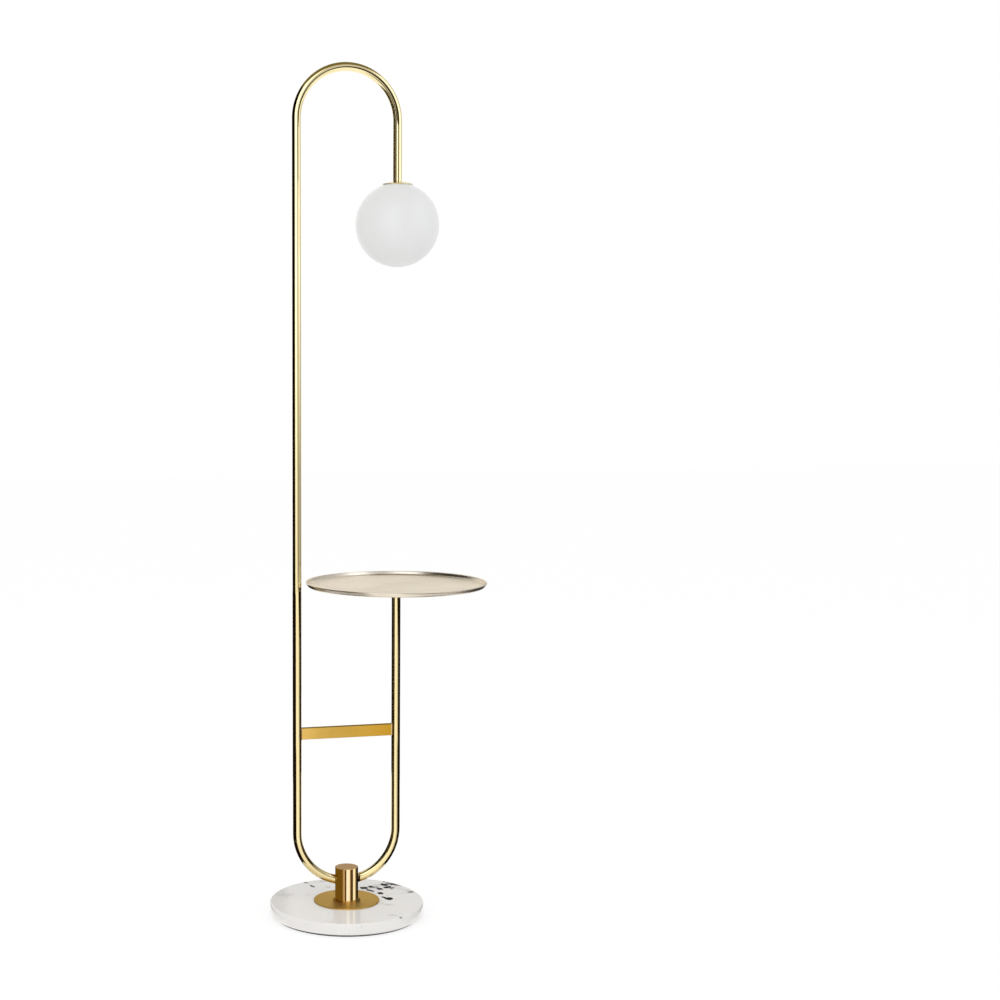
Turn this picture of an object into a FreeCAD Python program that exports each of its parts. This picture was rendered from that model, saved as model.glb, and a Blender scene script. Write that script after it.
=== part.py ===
"""Arc floor lamp with a round tray, built from its separate pieces at real size.

Millimetres, +Z up. The origin is on the floor under the middle of the round base. The loop of
tube stands in the XZ plane: the pole is at -X, and the leg, the tray and the globe are at +X.
The front is -Y and the cable enters the base at +Y.
"""
import FreeCAD, Part
import math
import os

V = FreeCAD.Vector
UP = V(0, 0, 1)
BACK = V(0, 1, 0)

# Overall places, as levels above the floor
overall_height = 1538.0
crossbar_level = 339.0
tray_level = 603.0
globe_drop = 284.0
lower_joint_level = 600.0
upper_joint_level = 1020.0

# Frame of round tube
tube_diameter = 16.0
tube_wall = 1.2
leg_spacing = 185.0
crossbar_height = 22.5
crossbar_thickness = 3.0
crossbar_corner = 1.2
joint_bevel = 0.3
joiner_length = 44.0
joiner_wall = 2.8
plug_wall = 1.8

# Base
base_diameter = 280.0
pad_thickness = 2.0
pad_inset = 8.0
ballast_thickness = 3.0
ballast_inset = 6.0
marble_thickness = 20.0
marble_edge = 2.5
marble_lower_edge = 1.0
pocket_diameter = 62.0
pocket_depth = 14.0
channel_width = 18.0
disc_diameter = 120.0
disc_thickness = 2.0
disc_edge = 0.4
post_diameter = 42.0
post_height = 61.0
post_edge = 0.8
loop_seat_share = 0.6
loop_gap = 16.0

# Fasteners of the base
rod_diameter = 10.0
rod_wall = 1.5
rod_grip = 22.0
rod_hole_clearance = 0.5
rod_tail = 0.5
washer_diameter = 36.0
washer_thickness = 2.0
nut_across_flats = 17.0
nut_height = 6.0
grub_diameter = 5.0
grub_key = 2.5
grub_key_depth = 2.0
grub_sink = 0.4
ballast_screw_count = 3
ballast_screw_circle = 200.0
ballast_screw_diameter = 5.0
ballast_screw_head = 9.5
ballast_screw_length = 13.0

# Cable entry and terminal block
gland_bore = 7.0
gland_body = 12.0
gland_flange = 16.0
gland_flange_thickness = 1.5
gland_length = 15.0
spot_face_margin = 0.5
block_length = 24.0
block_height = 10.0
block_side_gap = 1.0
block_from_pocket = 4.0
terminal_screw_diameter = 3.6
terminal_screw_depth = 3.0
terminal_slot = 0.7
wire_diameter = 3.0
wire_lift = 0.3
wire_lower_bend = 5.0
wire_upper_bend = 10.0

# Tray
tray_diameter = 330.0
tray_sheet = 1.3
tray_rim_height = 8.0
tray_flare = 2.6
tray_lip_diameter = 2.6
tray_foot_radius = 2.2
hub_flange_diameter = 50.0
hub_flange_thickness = 2.5
hub_boss_diameter = 20.0
hub_boss_height = 8.0
stud_grip = 6.0
stud_reach = 15.0
tray_washer_thickness = 1.0
plug_head = 4.0
plug_depth = 22.0
stud_clearance = 0.1

# Globe and its carrier
globe_diameter = 150.0
globe_wall = 3.0
cap_diameter = 56.0
cap_sheet = 1.2
cap_gap = 1.0
carrier_diameter = 30.0
carrier_wall = 1.5
carrier_web = 2.5
carrier_length = 15.0
neck_clearance = 0.3
neck_wall = 3.0
neck_depth = 14.0
gasket_thickness = 0.8
gasket_inset = 0.5
nipple_wall = 1.4
drop_plug_length = 20.0
drop_plug_sink = 0.5
nipple_nut_across_flats = 14.0
nipple_nut_height = 5.0
nipple_tail = 2.0

# Lampholder and bulb
bracket_width = 12.0
bracket_sheet = 1.0
bracket_height = 20.0
bracket_wall_gap = 0.5
bracket_foot_overhang = 2.6
wire_hole_margin = 0.6
holder_diameter = 20.0
holder_height = 18.0
holder_edge = 0.8
holder_wire_depth = 4.0
holder_screw_diameter = 3.0
holder_screw_head = 5.4
holder_screw_head_height = 2.0
holder_screw_length = 8.0
holder_screw_spacing = 11.0
holder_screw_slot = 0.6
pin_spacing = 9.0
pin_width = 2.4
pin_thickness = 0.8
pin_length = 7.0
pin_clearance = 0.4
contact_thickness = 0.4
contact_length = 9.0
bulb_base_length = 13.0
bulb_base_diameter = 15.0
bulb_base_edge = 1.0
bulb_diameter = 16.0
bulb_length = 35.0
bulb_glass_wall = 1.0

# How far a cutting shape runs past what it cuts, and how near counts as the same level
overrun = 2.0
level_tolerance = 0.01

# Levels and radii that follow from the sizes above
ballast_level = pad_thickness
marble_level = ballast_level + ballast_thickness
disc_level = marble_level + marble_thickness
post_level = disc_level + disc_thickness
pocket_ceiling = marble_level + pocket_depth

bend_radius = leg_spacing / 2
pole_x = -leg_spacing / 2
leg_x = leg_spacing / 2
tube_bore = tube_diameter - 2 * tube_wall
loop_bottom = post_level + loop_seat_share * post_height
lower_bend_level = loop_bottom + bend_radius
upper_bend_level = overall_height - tube_diameter / 2 - bend_radius

washer_level = pocket_ceiling - washer_thickness
nut_level = washer_level - nut_height
rod_level = nut_level - rod_tail
rod_bore = rod_diameter - 2 * rod_wall
wire_level = marble_level + wire_lift + wire_diameter / 2

gland_level = marble_level + marble_thickness / 2
spot_face_diameter = gland_flange + 2 * spot_face_margin
spot_face_y = math.sqrt((base_diameter / 2) ** 2 - (spot_face_diameter / 2) ** 2)
block_front = pocket_diameter / 2 + block_from_pocket

thread_hole = tube_bore - 2 * plug_wall
stud_diameter = thread_hole - 2 * stud_clearance
boss_level = tray_level - hub_flange_thickness - hub_boss_height
tray_washer_level = boss_level - tray_washer_thickness
leg_top = tray_washer_level - plug_head

globe_level = overall_height - globe_drop
globe_radius = globe_diameter / 2
cap_inner_radius = globe_radius + cap_gap
cap_outer_radius = cap_inner_radius + cap_sheet
neck_bore = carrier_diameter + 2 * neck_clearance
neck_diameter = neck_bore + 2 * neck_wall


def sphere_height(radius, distance):
    """Height of a sphere's surface above its centre, at a distance from its axis."""
    return math.sqrt(radius ** 2 - distance ** 2)


neck_top = globe_level + sphere_height(globe_radius, neck_diameter / 2)
carrier_top = globe_level + sphere_height(cap_inner_radius, carrier_diameter / 2)
carrier_web_level = carrier_top - carrier_web
drop_end = globe_level + sphere_height(cap_outer_radius, tube_bore / 2)
nipple_diameter = thread_hole
nipple_level = carrier_web_level - bracket_sheet - nipple_nut_height - nipple_tail
holder_top = carrier_web_level - bracket_height
holder_level = holder_top - holder_height


# Shapes that many pieces share

def cylinder(diameter, low, high, x=0.0, y=0.0):
    """Upright cylinder between two levels."""
    return Part.makeCylinder(diameter / 2, high - low, V(x, y, low), UP)


def cross_cylinder(diameter, y_from, y_to, x, z):
    """Cylinder lying along Y."""
    return Part.makeCylinder(diameter / 2, y_to - y_from, V(x, y_from, z), BACK)


def ring(outer, inner, low, high, x=0.0):
    return cylinder(outer, low, high, x).cut(cylinder(inner, low - overrun, high + overrun, x))


def block(x_size, y_size, low, high, x=0.0, y=0.0):
    """Box centred on x and y, between two levels."""
    return Part.makeBox(x_size, y_size, high - low, V(x - x_size / 2, y - y_size / 2, low))


def hexagon(across_flats, low, high, x=0.0):
    corner = across_flats / math.sqrt(3)
    points = [V(x + corner * math.cos(turn * math.pi / 3), corner * math.sin(turn * math.pi / 3), low)
              for turn in range(7)]
    return Part.Face(Part.makePolygon(points)).extrude(UP * (high - low))


def rims_at(shape, level):
    """Round edges of a shape that lie at a level."""
    return [edge for edge in shape.Edges
            if edge.isClosed() and abs(edge.CenterOfMass.z - level) < level_tolerance]


def line(start, end):
    return Part.LineSegment(start, end).toShape()


def loop_arc(level, start, end, radius=bend_radius, x=0.0):
    """Arc in the XZ plane about (x, level), between two angles in degrees from +X towards +Z."""
    def point(angle):
        turn = math.radians(angle)
        return V(x + radius * math.cos(turn), 0, level + radius * math.sin(turn))
    return Part.Arc(point(start), point((start + end) / 2), point(end)).toShape()


def rod_along(path, diameter):
    """Round bar whose centre follows a path of tangent lines and arcs."""
    first = path[0]
    section = Part.makeCircle(diameter / 2, first.valueAt(first.FirstParameter),
                              first.tangentAt(first.FirstParameter))
    return Part.Wire(path).makePipe(Part.Face(Part.Wire(section)))


def tube_along(path):
    return rod_along(path, tube_diameter).cut(rod_along(path, tube_bore))


def turned(edges, x=0.0):
    """Solid of revolution about the upright axis at x, from a closed outline in its XZ plane."""
    face = Part.Face(Part.Wire(edges))
    solid = face.revolve(V(0, 0, 0), UP, 360)
    solid.translate(V(x, 0, 0))
    return solid


def outline(points):
    """Closed outline of straight edges from (radius, level) pairs."""
    corners = [V(radius, 0, level) for radius, level in points]
    return [line(a, b) for a, b in zip(corners, corners[1:] + corners[:1])]


def sphere_arc(radius, level, start, end):
    """Outline arc on a sphere about (0, level), between two angles in degrees above the level."""
    return loop_arc(level, start, end, radius)


def angle_at(radius, distance):
    """Angle in degrees above the middle at which a sphere lies this far from its axis."""
    return math.degrees(math.acos(distance / radius))


# Base

def base_pad():
    return cylinder(base_diameter - 2 * pad_inset, 0, pad_thickness)


def ballast_screw_places():
    """Even places on a circle, the first at the front, clear of the cable channel at the back."""
    turns = [2 * math.pi * place / ballast_screw_count - math.pi / 2
             for place in range(ballast_screw_count)]
    return [(ballast_screw_circle / 2 * math.cos(turn), ballast_screw_circle / 2 * math.sin(turn))
            for turn in turns]


def ballast_screw(x, y):
    """Countersunk screw, its head flush with the plate's underside."""
    cone = (ballast_screw_head - ballast_screw_diameter) / 2
    head = Part.makeCone(ballast_screw_head / 2, ballast_screw_diameter / 2, cone,
                         V(x, y, ballast_level), UP)
    shank = cylinder(ballast_screw_diameter, ballast_level + cone,
                     ballast_level + ballast_screw_length, x, y)
    return head.fuse(shank).removeSplitter()


def ballast_screws():
    return [ballast_screw(x, y) for x, y in ballast_screw_places()]


def ballast_plate():
    plate = cylinder(base_diameter - 2 * ballast_inset, ballast_level, marble_level)
    return plate.cut(Part.makeCompound(ballast_screws()))


def marble_base():
    slab = cylinder(base_diameter, marble_level, disc_level)
    slab = slab.makeFillet(marble_edge, rims_at(slab, disc_level))
    slab = slab.makeChamfer(marble_lower_edge, rims_at(slab, marble_level))
    channel_end = spot_face_y - gland_length
    cuts = [
        cylinder(pocket_diameter, marble_level - overrun, pocket_ceiling),
        cylinder(rod_diameter + 2 * rod_hole_clearance, marble_level, disc_level + overrun),
        block(channel_width, channel_end, marble_level - overrun, pocket_ceiling, 0, channel_end / 2),
        cross_cylinder(gland_body, channel_end - overrun, base_diameter / 2 + overrun, 0, gland_level),
        cross_cylinder(spot_face_diameter, spot_face_y, base_diameter / 2 + overrun, 0, gland_level),
    ]
    return slab.cut(cuts + ballast_screws())


def base_disc():
    plate = cylinder(disc_diameter, disc_level, post_level)
    plate = plate.makeFillet(disc_edge, rims_at(plate, post_level))
    return plate.cut(cylinder(rod_diameter, disc_level - overrun, post_level + overrun))


def tie_rod():
    return ring(rod_diameter, rod_bore, rod_level, post_level + rod_grip)


def tie_washer():
    return ring(washer_diameter, rod_diameter, washer_level, pocket_ceiling)


def tie_nut():
    nut = hexagon(nut_across_flats, nut_level, washer_level)
    return nut.cut(cylinder(rod_diameter, nut_level - overrun, washer_level + overrun))


# Post

def grub_places():
    """X of each grub screw, midway along the stretch of tube inside the post."""
    middle = (loop_gap / 2 + post_diameter / 2) / 2
    return [-middle, middle]


def loop_height_at(x):
    """Level of the lower loop's centre line at x."""
    return lower_bend_level - sphere_height(bend_radius, x)


def grub_screw(x):
    outer = sphere_height(post_diameter / 2, x) - grub_sink
    level = loop_height_at(x)
    screw = cross_cylinder(grub_diameter, tube_diameter / 2, outer, x, level)
    socket = hexagon(grub_key, 0, grub_key_depth + overrun)
    socket.rotate(V(0, 0, 0), V(1, 0, 0), -90)
    socket.translate(V(x, outer - grub_key_depth, level))
    return screw.cut(socket)


def post_grub_screws():
    return [grub_screw(x) for x in grub_places()]


def post():
    top = post_level + post_height
    body = cylinder(post_diameter, post_level, top)
    body = body.makeFillet(post_edge, rims_at(body, top))
    reach = math.degrees(math.asin((post_diameter / 2 + overrun) / bend_radius))
    cuts = [
        rod_along([loop_arc(lower_bend_level, 270 - reach, 270 + reach)], tube_diameter),
        cylinder(rod_diameter, post_level - overrun, loop_bottom),
    ]
    for x in grub_places():
        cuts.append(cross_cylinder(grub_diameter, 0, post_diameter, x, loop_height_at(x)))
    return body.cut(cuts)


# Tube frame

def loop_end_angle():
    """Angle at the loop's bottom that the gap between its two tubes takes on each side."""
    return math.degrees(math.asin(loop_gap / 2 / bend_radius))


def bevelled(tube, level):
    """Tube with the outer rim of one end bevelled, which leaves a fine groove at its joint."""
    rim = max(rims_at(tube, level), key=lambda edge: edge.Length)
    return tube.makeChamfer(joint_bevel, [rim])


def loop_tube_left():
    tube = tube_along([
        loop_arc(lower_bend_level, 270 - loop_end_angle(), 180),
        line(V(pole_x, 0, lower_bend_level), V(pole_x, 0, lower_joint_level)),
    ])
    return bevelled(tube, lower_joint_level)


def loop_tube_right():
    return tube_along([
        loop_arc(lower_bend_level, 270 + loop_end_angle(), 360),
        line(V(leg_x, 0, lower_bend_level), V(leg_x, 0, leg_top)),
    ])


def pole_tube():
    tube = tube_along([line(V(pole_x, 0, lower_joint_level), V(pole_x, 0, upper_joint_level))])
    return bevelled(bevelled(tube, lower_joint_level), upper_joint_level)


def arch_tube():
    tube = tube_along([
        line(V(pole_x, 0, upper_joint_level), V(pole_x, 0, upper_bend_level)),
        loop_arc(upper_bend_level, 180, 0),
        line(V(leg_x, 0, upper_bend_level), V(leg_x, 0, drop_end)),
    ])
    return bevelled(tube, upper_joint_level)


def pole_joiner(level):
    return ring(tube_bore, tube_bore - 2 * joiner_wall, level - joiner_length / 2,
                level + joiner_length / 2, pole_x)


def pole_joiners():
    return [pole_joiner(level) for level in (lower_joint_level, upper_joint_level)]


def crossbar():
    """Flat bar whose ends are shaped to the two tubes that it is brazed to."""
    low = crossbar_level - crossbar_height / 2
    high = crossbar_level + crossbar_height / 2
    bar = block(leg_spacing, crossbar_thickness, low, high)
    long_edges = [edge for edge in bar.Edges if abs(edge.tangentAt(edge.FirstParameter).x) > 0.5]
    bar = bar.makeFillet(crossbar_corner, long_edges)
    tubes = [cylinder(tube_diameter, low - overrun, high + overrun, x) for x in (pole_x, leg_x)]
    bar = bar.cut(tubes)
    return max(bar.Solids, key=lambda solid: solid.Volume)


# Tray

def leg_plug():
    head = cylinder(tube_diameter, leg_top, tray_washer_level, leg_x)
    body = cylinder(tube_bore, leg_top - plug_depth, leg_top, leg_x)
    hole = cylinder(thread_hole, leg_top - plug_depth - overrun, tray_washer_level + overrun, leg_x)
    return head.fuse(body).removeSplitter().cut(hole)


def tray_washer():
    return ring(tube_diameter, thread_hole, tray_washer_level, boss_level, leg_x)


def tray_stud():
    return cylinder(stud_diameter, boss_level - stud_reach, boss_level + stud_grip, leg_x)


def tray_hub():
    flange_level = tray_level - hub_flange_thickness
    flange = cylinder(hub_flange_diameter, flange_level, tray_level, leg_x)
    boss = cylinder(hub_boss_diameter, boss_level, flange_level, leg_x)
    hole = cylinder(stud_diameter, boss_level - overrun, boss_level + stud_grip, leg_x)
    return flange.fuse(boss).removeSplitter().cut(hole)


def tray_dish():
    """Pressed round dish: a flat floor, a flared wall and a lip rolled over at the rim."""
    lip = tray_lip_diameter / 2
    rim = tray_diameter / 2 - lip
    lip_level = tray_level + tray_rim_height - lip
    floor_level = tray_level + tray_sheet
    foot = rim - tray_flare
    shell = turned(outline([
        (0, tray_level),
        (foot, tray_level),
        (rim, lip_level),
        (rim - tray_sheet, lip_level),
        (foot - tray_sheet, floor_level),
        (0, floor_level),
    ]), leg_x)
    shell = shell.makeFillet(tray_foot_radius + tray_sheet, rims_at(shell, tray_level))
    shell = shell.makeFillet(tray_foot_radius, rims_at(shell, floor_level))
    bead = Part.makeTorus(rim, lip, V(leg_x, 0, lip_level), UP)
    return shell.fuse(bead).removeSplitter()


# Head of the lamp

def drop_plug():
    low = drop_end + drop_plug_sink
    return ring(tube_bore, nipple_diameter, low, low + drop_plug_length, leg_x)


def nipple():
    high = drop_end + drop_plug_sink + drop_plug_length
    return ring(nipple_diameter, nipple_diameter - 2 * nipple_wall, nipple_level, high, leg_x)


def globe_cap():
    """Shallow dish that follows the globe."""
    hole = nipple_diameter / 2
    rim = cap_diameter / 2
    rim_angle = angle_at(cap_outer_radius, rim)
    under = sphere_arc(cap_inner_radius, globe_level, angle_at(cap_inner_radius, hole), rim_angle)
    over = sphere_arc(cap_outer_radius, globe_level, rim_angle, angle_at(cap_outer_radius, hole))
    edges = [under, line(under.Vertexes[-1].Point, over.Vertexes[0].Point),
             over, line(over.Vertexes[-1].Point, under.Vertexes[0].Point)]
    return turned(edges, leg_x)


def shade_carrier():
    """Threaded cup under the cap that the globe's neck screws onto."""
    hole = nipple_diameter / 2
    outer = carrier_diameter / 2
    inner = outer - carrier_wall
    low = carrier_top - carrier_length
    dome = sphere_arc(cap_inner_radius, globe_level, angle_at(cap_inner_radius, hole),
                      angle_at(cap_inner_radius, outer))
    corners = [dome.Vertexes[-1].Point] + [V(radius, 0, level) for radius, level in (
        (outer, low), (inner, low), (inner, carrier_web_level), (hole, carrier_web_level),
    )] + [dome.Vertexes[0].Point]
    return turned([dome] + [line(a, b) for a, b in zip(corners, corners[1:])], leg_x)


def nipple_nut():
    high = carrier_web_level - bracket_sheet
    low = high - nipple_nut_height
    nut = hexagon(nipple_nut_across_flats, low, high, leg_x)
    return nut.cut(cylinder(nipple_diameter, low - overrun, high + overrun, leg_x))


def globe_gasket():
    return ring(neck_diameter - 2 * gasket_inset, neck_bore, neck_top,
                neck_top + gasket_thickness, leg_x)


def globe():
    """Opal glass ball, open at the top, with its threaded neck turned down inside."""
    inner_radius = globe_radius - globe_wall
    neck = neck_diameter / 2
    neck_low = neck_top - neck_depth
    outside = sphere_arc(globe_radius, globe_level, angle_at(globe_radius, neck), -90)
    inside = sphere_arc(inner_radius, globe_level, -90, angle_at(inner_radius, neck))
    corners = [inside.Vertexes[-1].Point] + [V(radius, 0, level) for radius, level in (
        (neck, neck_low), (neck_bore / 2, neck_low), (neck_bore / 2, neck_top),
    )] + [outside.Vertexes[0].Point]
    edges = [outside, line(outside.Vertexes[-1].Point, inside.Vertexes[0].Point), inside]
    return turned(edges + [line(a, b) for a, b in zip(corners, corners[1:])], leg_x)


# Lampholder and bulb

def bracket_leg_reach():
    """How far the bracket's upright stands from the axis, clear of the carrier's wall."""
    free = carrier_diameter / 2 - carrier_wall - bracket_wall_gap
    return sphere_height(free, bracket_width / 2)


def holder_screw_places():
    return [-holder_screw_spacing / 2, holder_screw_spacing / 2]


def holder_bracket():
    """C-shaped strip: its upper web hangs on the nipple and its foot holds the lampholder."""
    reach = bracket_leg_reach()
    upper_back = nipple_nut_across_flats / 2
    foot_back = holder_screw_spacing / 2 + bracket_foot_overhang
    upper = block(reach + upper_back, bracket_width, carrier_web_level - bracket_sheet,
                  carrier_web_level, leg_x + (reach - upper_back) / 2)
    foot = block(reach + foot_back, bracket_width, holder_top, holder_top + bracket_sheet,
                 leg_x + (reach - foot_back) / 2)
    upright = block(bracket_sheet, bracket_width, holder_top, carrier_web_level,
                    leg_x + reach - bracket_sheet / 2)
    cuts = [
        cylinder(nipple_diameter, carrier_web_level - 2 * overrun, carrier_web_level + overrun, leg_x),
        cylinder(wire_diameter + 2 * wire_hole_margin, holder_top - overrun,
                 holder_top + bracket_sheet + overrun, leg_x),
    ]
    for place in holder_screw_places():
        cuts.append(cylinder(holder_screw_diameter, holder_top - overrun,
                             holder_top + bracket_sheet + overrun, leg_x + place))
    return upper.fuse([foot, upright]).removeSplitter().cut(cuts)


def holder_screw(place):
    seat = holder_top + bracket_sheet
    high = seat + holder_screw_head_height
    head = cylinder(holder_screw_head, seat, high, leg_x + place)
    shank = cylinder(holder_screw_diameter, seat - holder_screw_length, seat, leg_x + place)
    slot = block(holder_screw_slot, holder_screw_head + overrun, (seat + high) / 2, high + overrun,
                 leg_x + place)
    return head.fuse(shank).removeSplitter().cut(slot)


def holder_screws():
    return [holder_screw(place) for place in holder_screw_places()]


def pin_places():
    return [-pin_spacing / 2, pin_spacing / 2]


def contact_strip(place):
    """Spring strip beside one pin, on the side away from the middle."""
    side = math.copysign(1, place)
    middle = place + side * (pin_thickness / 2 + pin_clearance + contact_thickness / 2)
    return block(pin_width, contact_thickness, holder_level, holder_level + contact_length, leg_x, middle)


def holder_contacts():
    return [contact_strip(place) for place in pin_places()]


def pin_slot(place):
    """Slot in the lampholder for one pin and its contact strip."""
    side = math.copysign(1, place)
    depth = pin_thickness + 2 * pin_clearance + contact_thickness
    middle = place + side * contact_thickness / 2
    return block(pin_width + 2 * pin_clearance, depth, holder_level - overrun,
                 holder_level + contact_length, leg_x, middle)


def lampholder():
    body = cylinder(holder_diameter, holder_level, holder_top, leg_x)
    body = body.makeFillet(holder_edge, rims_at(body, holder_level) + rims_at(body, holder_top))
    wire_hole = cylinder(wire_diameter, holder_top - holder_wire_depth, holder_top + overrun, leg_x)
    return body.cut([wire_hole] + holder_screws() + [pin_slot(place) for place in pin_places()])


def bulb_base():
    low = holder_level - bulb_base_length
    body = cylinder(bulb_base_diameter, low, holder_level, leg_x)
    return body.makeFillet(bulb_base_edge, rims_at(body, holder_level))


def bulb_pins():
    return [block(pin_width, pin_thickness, holder_level, holder_level + pin_length, leg_x, place)
            for place in pin_places()]


def bulb_glass():
    """Clear capsule with a round end, closed against the bulb's base."""
    top = holder_level - bulb_base_length
    outer = bulb_diameter / 2
    inner = outer - bulb_glass_wall
    middle = top - bulb_length + outer
    outside = loop_arc(middle, 0, -90, outer)
    inside = loop_arc(middle, -90, 0, inner)
    corners = [V(inner, 0, middle), V(inner, 0, top), V(outer, 0, top), V(outer, 0, middle)]
    edges = [outside, line(outside.Vertexes[-1].Point, inside.Vertexes[0].Point), inside]
    return turned(edges + [line(a, b) for a, b in zip(corners, corners[1:])], leg_x)


# Cable entry and wire

def cable_gland():
    inner_end = spot_face_y - gland_length
    flange_end = spot_face_y + gland_flange_thickness
    body = cross_cylinder(gland_body, inner_end, spot_face_y, 0, gland_level)
    flange = cross_cylinder(gland_flange, spot_face_y, flange_end, 0, gland_level)
    bore = cross_cylinder(gland_bore, inner_end - overrun, flange_end + overrun, 0, gland_level)
    return body.fuse(flange).removeSplitter().cut(bore)


def terminal_places():
    """Place of each terminal screw along and across the block."""
    across = (channel_width - 2 * block_side_gap) / 4
    along = block_length / 4
    middle = block_front + block_length / 2
    return [(x, middle + y) for x in (-across, across) for y in (-along, along)]


def terminal_screw(x, y):
    high = marble_level + block_height
    low = high - terminal_screw_depth
    screw = cylinder(terminal_screw_diameter, low, high, x, y)
    return screw.cut(block(terminal_screw_diameter + overrun, terminal_slot, (low + high) / 2,
                           high + overrun, x, y))


def terminal_screws():
    return [terminal_screw(x, y) for x, y in terminal_places()]


def terminal_block():
    body = block(channel_width - 2 * block_side_gap, block_length, marble_level,
                 marble_level + block_height, 0, block_front + block_length / 2)
    holes = [cylinder(terminal_screw_diameter, marble_level + block_height - terminal_screw_depth,
                      marble_level + block_height + overrun, x, y) for x, y in terminal_places()]
    return body.cut(holes)


def wire_path():
    """Route of the wire: base pocket, hollow rod, post, loop, pole, arch, nipple, lampholder."""
    rise = wire_level + wire_lower_bend
    turn = wire_lower_bend * (1 - math.sqrt(0.5))
    lower_bend = Part.Arc(V(0, wire_lower_bend, wire_level), V(0, turn, wire_level + turn), V(0, 0, rise))
    reach = bend_radius + wire_upper_bend
    meet_level = lower_bend_level - sphere_height(reach, wire_upper_bend)
    meet = math.degrees(math.atan2(lower_bend_level - meet_level, wire_upper_bend))
    return [
        line(V(0, block_front, wire_level), V(0, wire_lower_bend, wire_level)),
        lower_bend.toShape(),
        line(V(0, 0, rise), V(0, 0, meet_level)),
        loop_arc(meet_level, 0, meet, wire_upper_bend, -wire_upper_bend),
        loop_arc(lower_bend_level, 180 + meet, 180),
        line(V(pole_x, 0, lower_bend_level), V(pole_x, 0, upper_bend_level)),
        loop_arc(upper_bend_level, 180, 0),
        line(V(leg_x, 0, upper_bend_level), V(leg_x, 0, holder_top - holder_wire_depth)),
    ]


def lamp_wire():
    return rod_along(wire_path(), wire_diameter)


pieces = {
    "base_pad": base_pad,
    "ballast_plate": ballast_plate,
    "ballast_screws": ballast_screws,
    "marble_base": marble_base,
    "base_disc": base_disc,
    "tie_rod": tie_rod,
    "tie_washer": tie_washer,
    "tie_nut": tie_nut,
    "post": post,
    "post_grub_screws": post_grub_screws,
    "loop_tube_left": loop_tube_left,
    "loop_tube_right": loop_tube_right,
    "crossbar": crossbar,
    "pole_tube": pole_tube,
    "arch_tube": arch_tube,
    "pole_joiners": pole_joiners,
    "leg_plug": leg_plug,
    "tray_washer": tray_washer,
    "tray_stud": tray_stud,
    "tray_hub": tray_hub,
    "tray_dish": tray_dish,
    "drop_plug": drop_plug,
    "nipple": nipple,
    "globe_cap": globe_cap,
    "shade_carrier": shade_carrier,
    "nipple_nut": nipple_nut,
    "globe_gasket": globe_gasket,
    "globe": globe,
    "holder_bracket": holder_bracket,
    "holder_screws": holder_screws,
    "holder_contacts": holder_contacts,
    "lampholder": lampholder,
    "bulb_base": bulb_base,
    "bulb_pins": bulb_pins,
    "bulb_glass": bulb_glass,
    "cable_gland": cable_gland,
    "terminal_block": terminal_block,
    "terminal_screws": terminal_screws,
    "lamp_wire": lamp_wire,
}

os.makedirs("parts", exist_ok=True)
for name, make in pieces.items():
    made = make()
    shape = Part.makeCompound(made) if isinstance(made, list) else made
    box = shape.BoundBox
    print(f"{name:18} solids {len(shape.Solids)} valid {shape.isValid()} volume {shape.Volume:.0f}"
          f" x {box.XMin:.1f} {box.XMax:.1f} y {box.YMin:.1f} {box.YMax:.1f}"
          f" z {box.ZMin:.1f} {box.ZMax:.1f}")
    shape.exportStep(f"parts/{name}.step")

wire_length = sum(edge.Length for edge in wire_path())
wire_section = math.pi * (wire_diameter / 2) ** 2
print(f"wire {wire_length:.0f} long, section times length {wire_section * wire_length:.0f}")
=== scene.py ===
# %% [markdown]
# # Arc floor lamp with a round tray
# The lamp is one loop of polished brass tube that stands in a short turned post on a white marble
# base. An opal glass globe hangs from the arch and a thin pressed tray sits on the shorter leg.
# The solids come in first and stay where they are. Each cell then dresses one piece or finish:
# a solid whose shape is already right only gets a material, and a polished one gets a finer mesh.

# %% Load the lamp's solids
import math

import bmesh
import bpy
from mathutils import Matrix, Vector


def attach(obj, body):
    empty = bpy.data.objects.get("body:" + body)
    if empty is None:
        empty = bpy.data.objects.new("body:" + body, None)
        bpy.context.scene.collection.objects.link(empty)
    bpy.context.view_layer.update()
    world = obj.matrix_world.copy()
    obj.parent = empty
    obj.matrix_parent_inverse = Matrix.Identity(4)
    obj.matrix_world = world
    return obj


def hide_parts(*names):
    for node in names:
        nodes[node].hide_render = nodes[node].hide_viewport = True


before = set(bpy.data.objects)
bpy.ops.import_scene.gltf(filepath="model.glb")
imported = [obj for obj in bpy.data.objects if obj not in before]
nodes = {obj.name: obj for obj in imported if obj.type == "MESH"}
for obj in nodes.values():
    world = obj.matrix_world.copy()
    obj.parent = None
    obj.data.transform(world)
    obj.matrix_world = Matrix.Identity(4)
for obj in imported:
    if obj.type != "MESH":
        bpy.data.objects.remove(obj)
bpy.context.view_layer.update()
scene = bpy.context.scene
scene.view_settings.view_transform = "Standard"

# %% [markdown]
# The camera stands 3.2 m away, a little left of the lamp and about two thirds up its height,
# and looks down by under five degrees. A long lens keeps the tubes upright. The lamp stands left
# of the middle of the picture, and a small sideways shift of the lens does that without turning
# the camera, so the uprights don't lean.

# %% Camera
CAMERA_TURN = math.radians(13.45)  # round the lamp, from straight in front of it
CAMERA_TILT = math.radians(85.4)  # up from straight down
AWAY = Vector((math.sin(CAMERA_TURN), math.cos(CAMERA_TURN), 0))
RIGHT = Vector((math.cos(CAMERA_TURN), -math.sin(CAMERA_TURN), 0))


def camera_side(right, away, level):
    """A point given in metres to the right of the lamp and behind it, as the camera sees them."""
    return right * RIGHT + away * AWAY + Vector((0, 0, level))


def put(name, data):
    """A new object in the scene."""
    thing = bpy.data.objects.new(name, data)
    scene.collection.objects.link(thing)
    return thing


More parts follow.
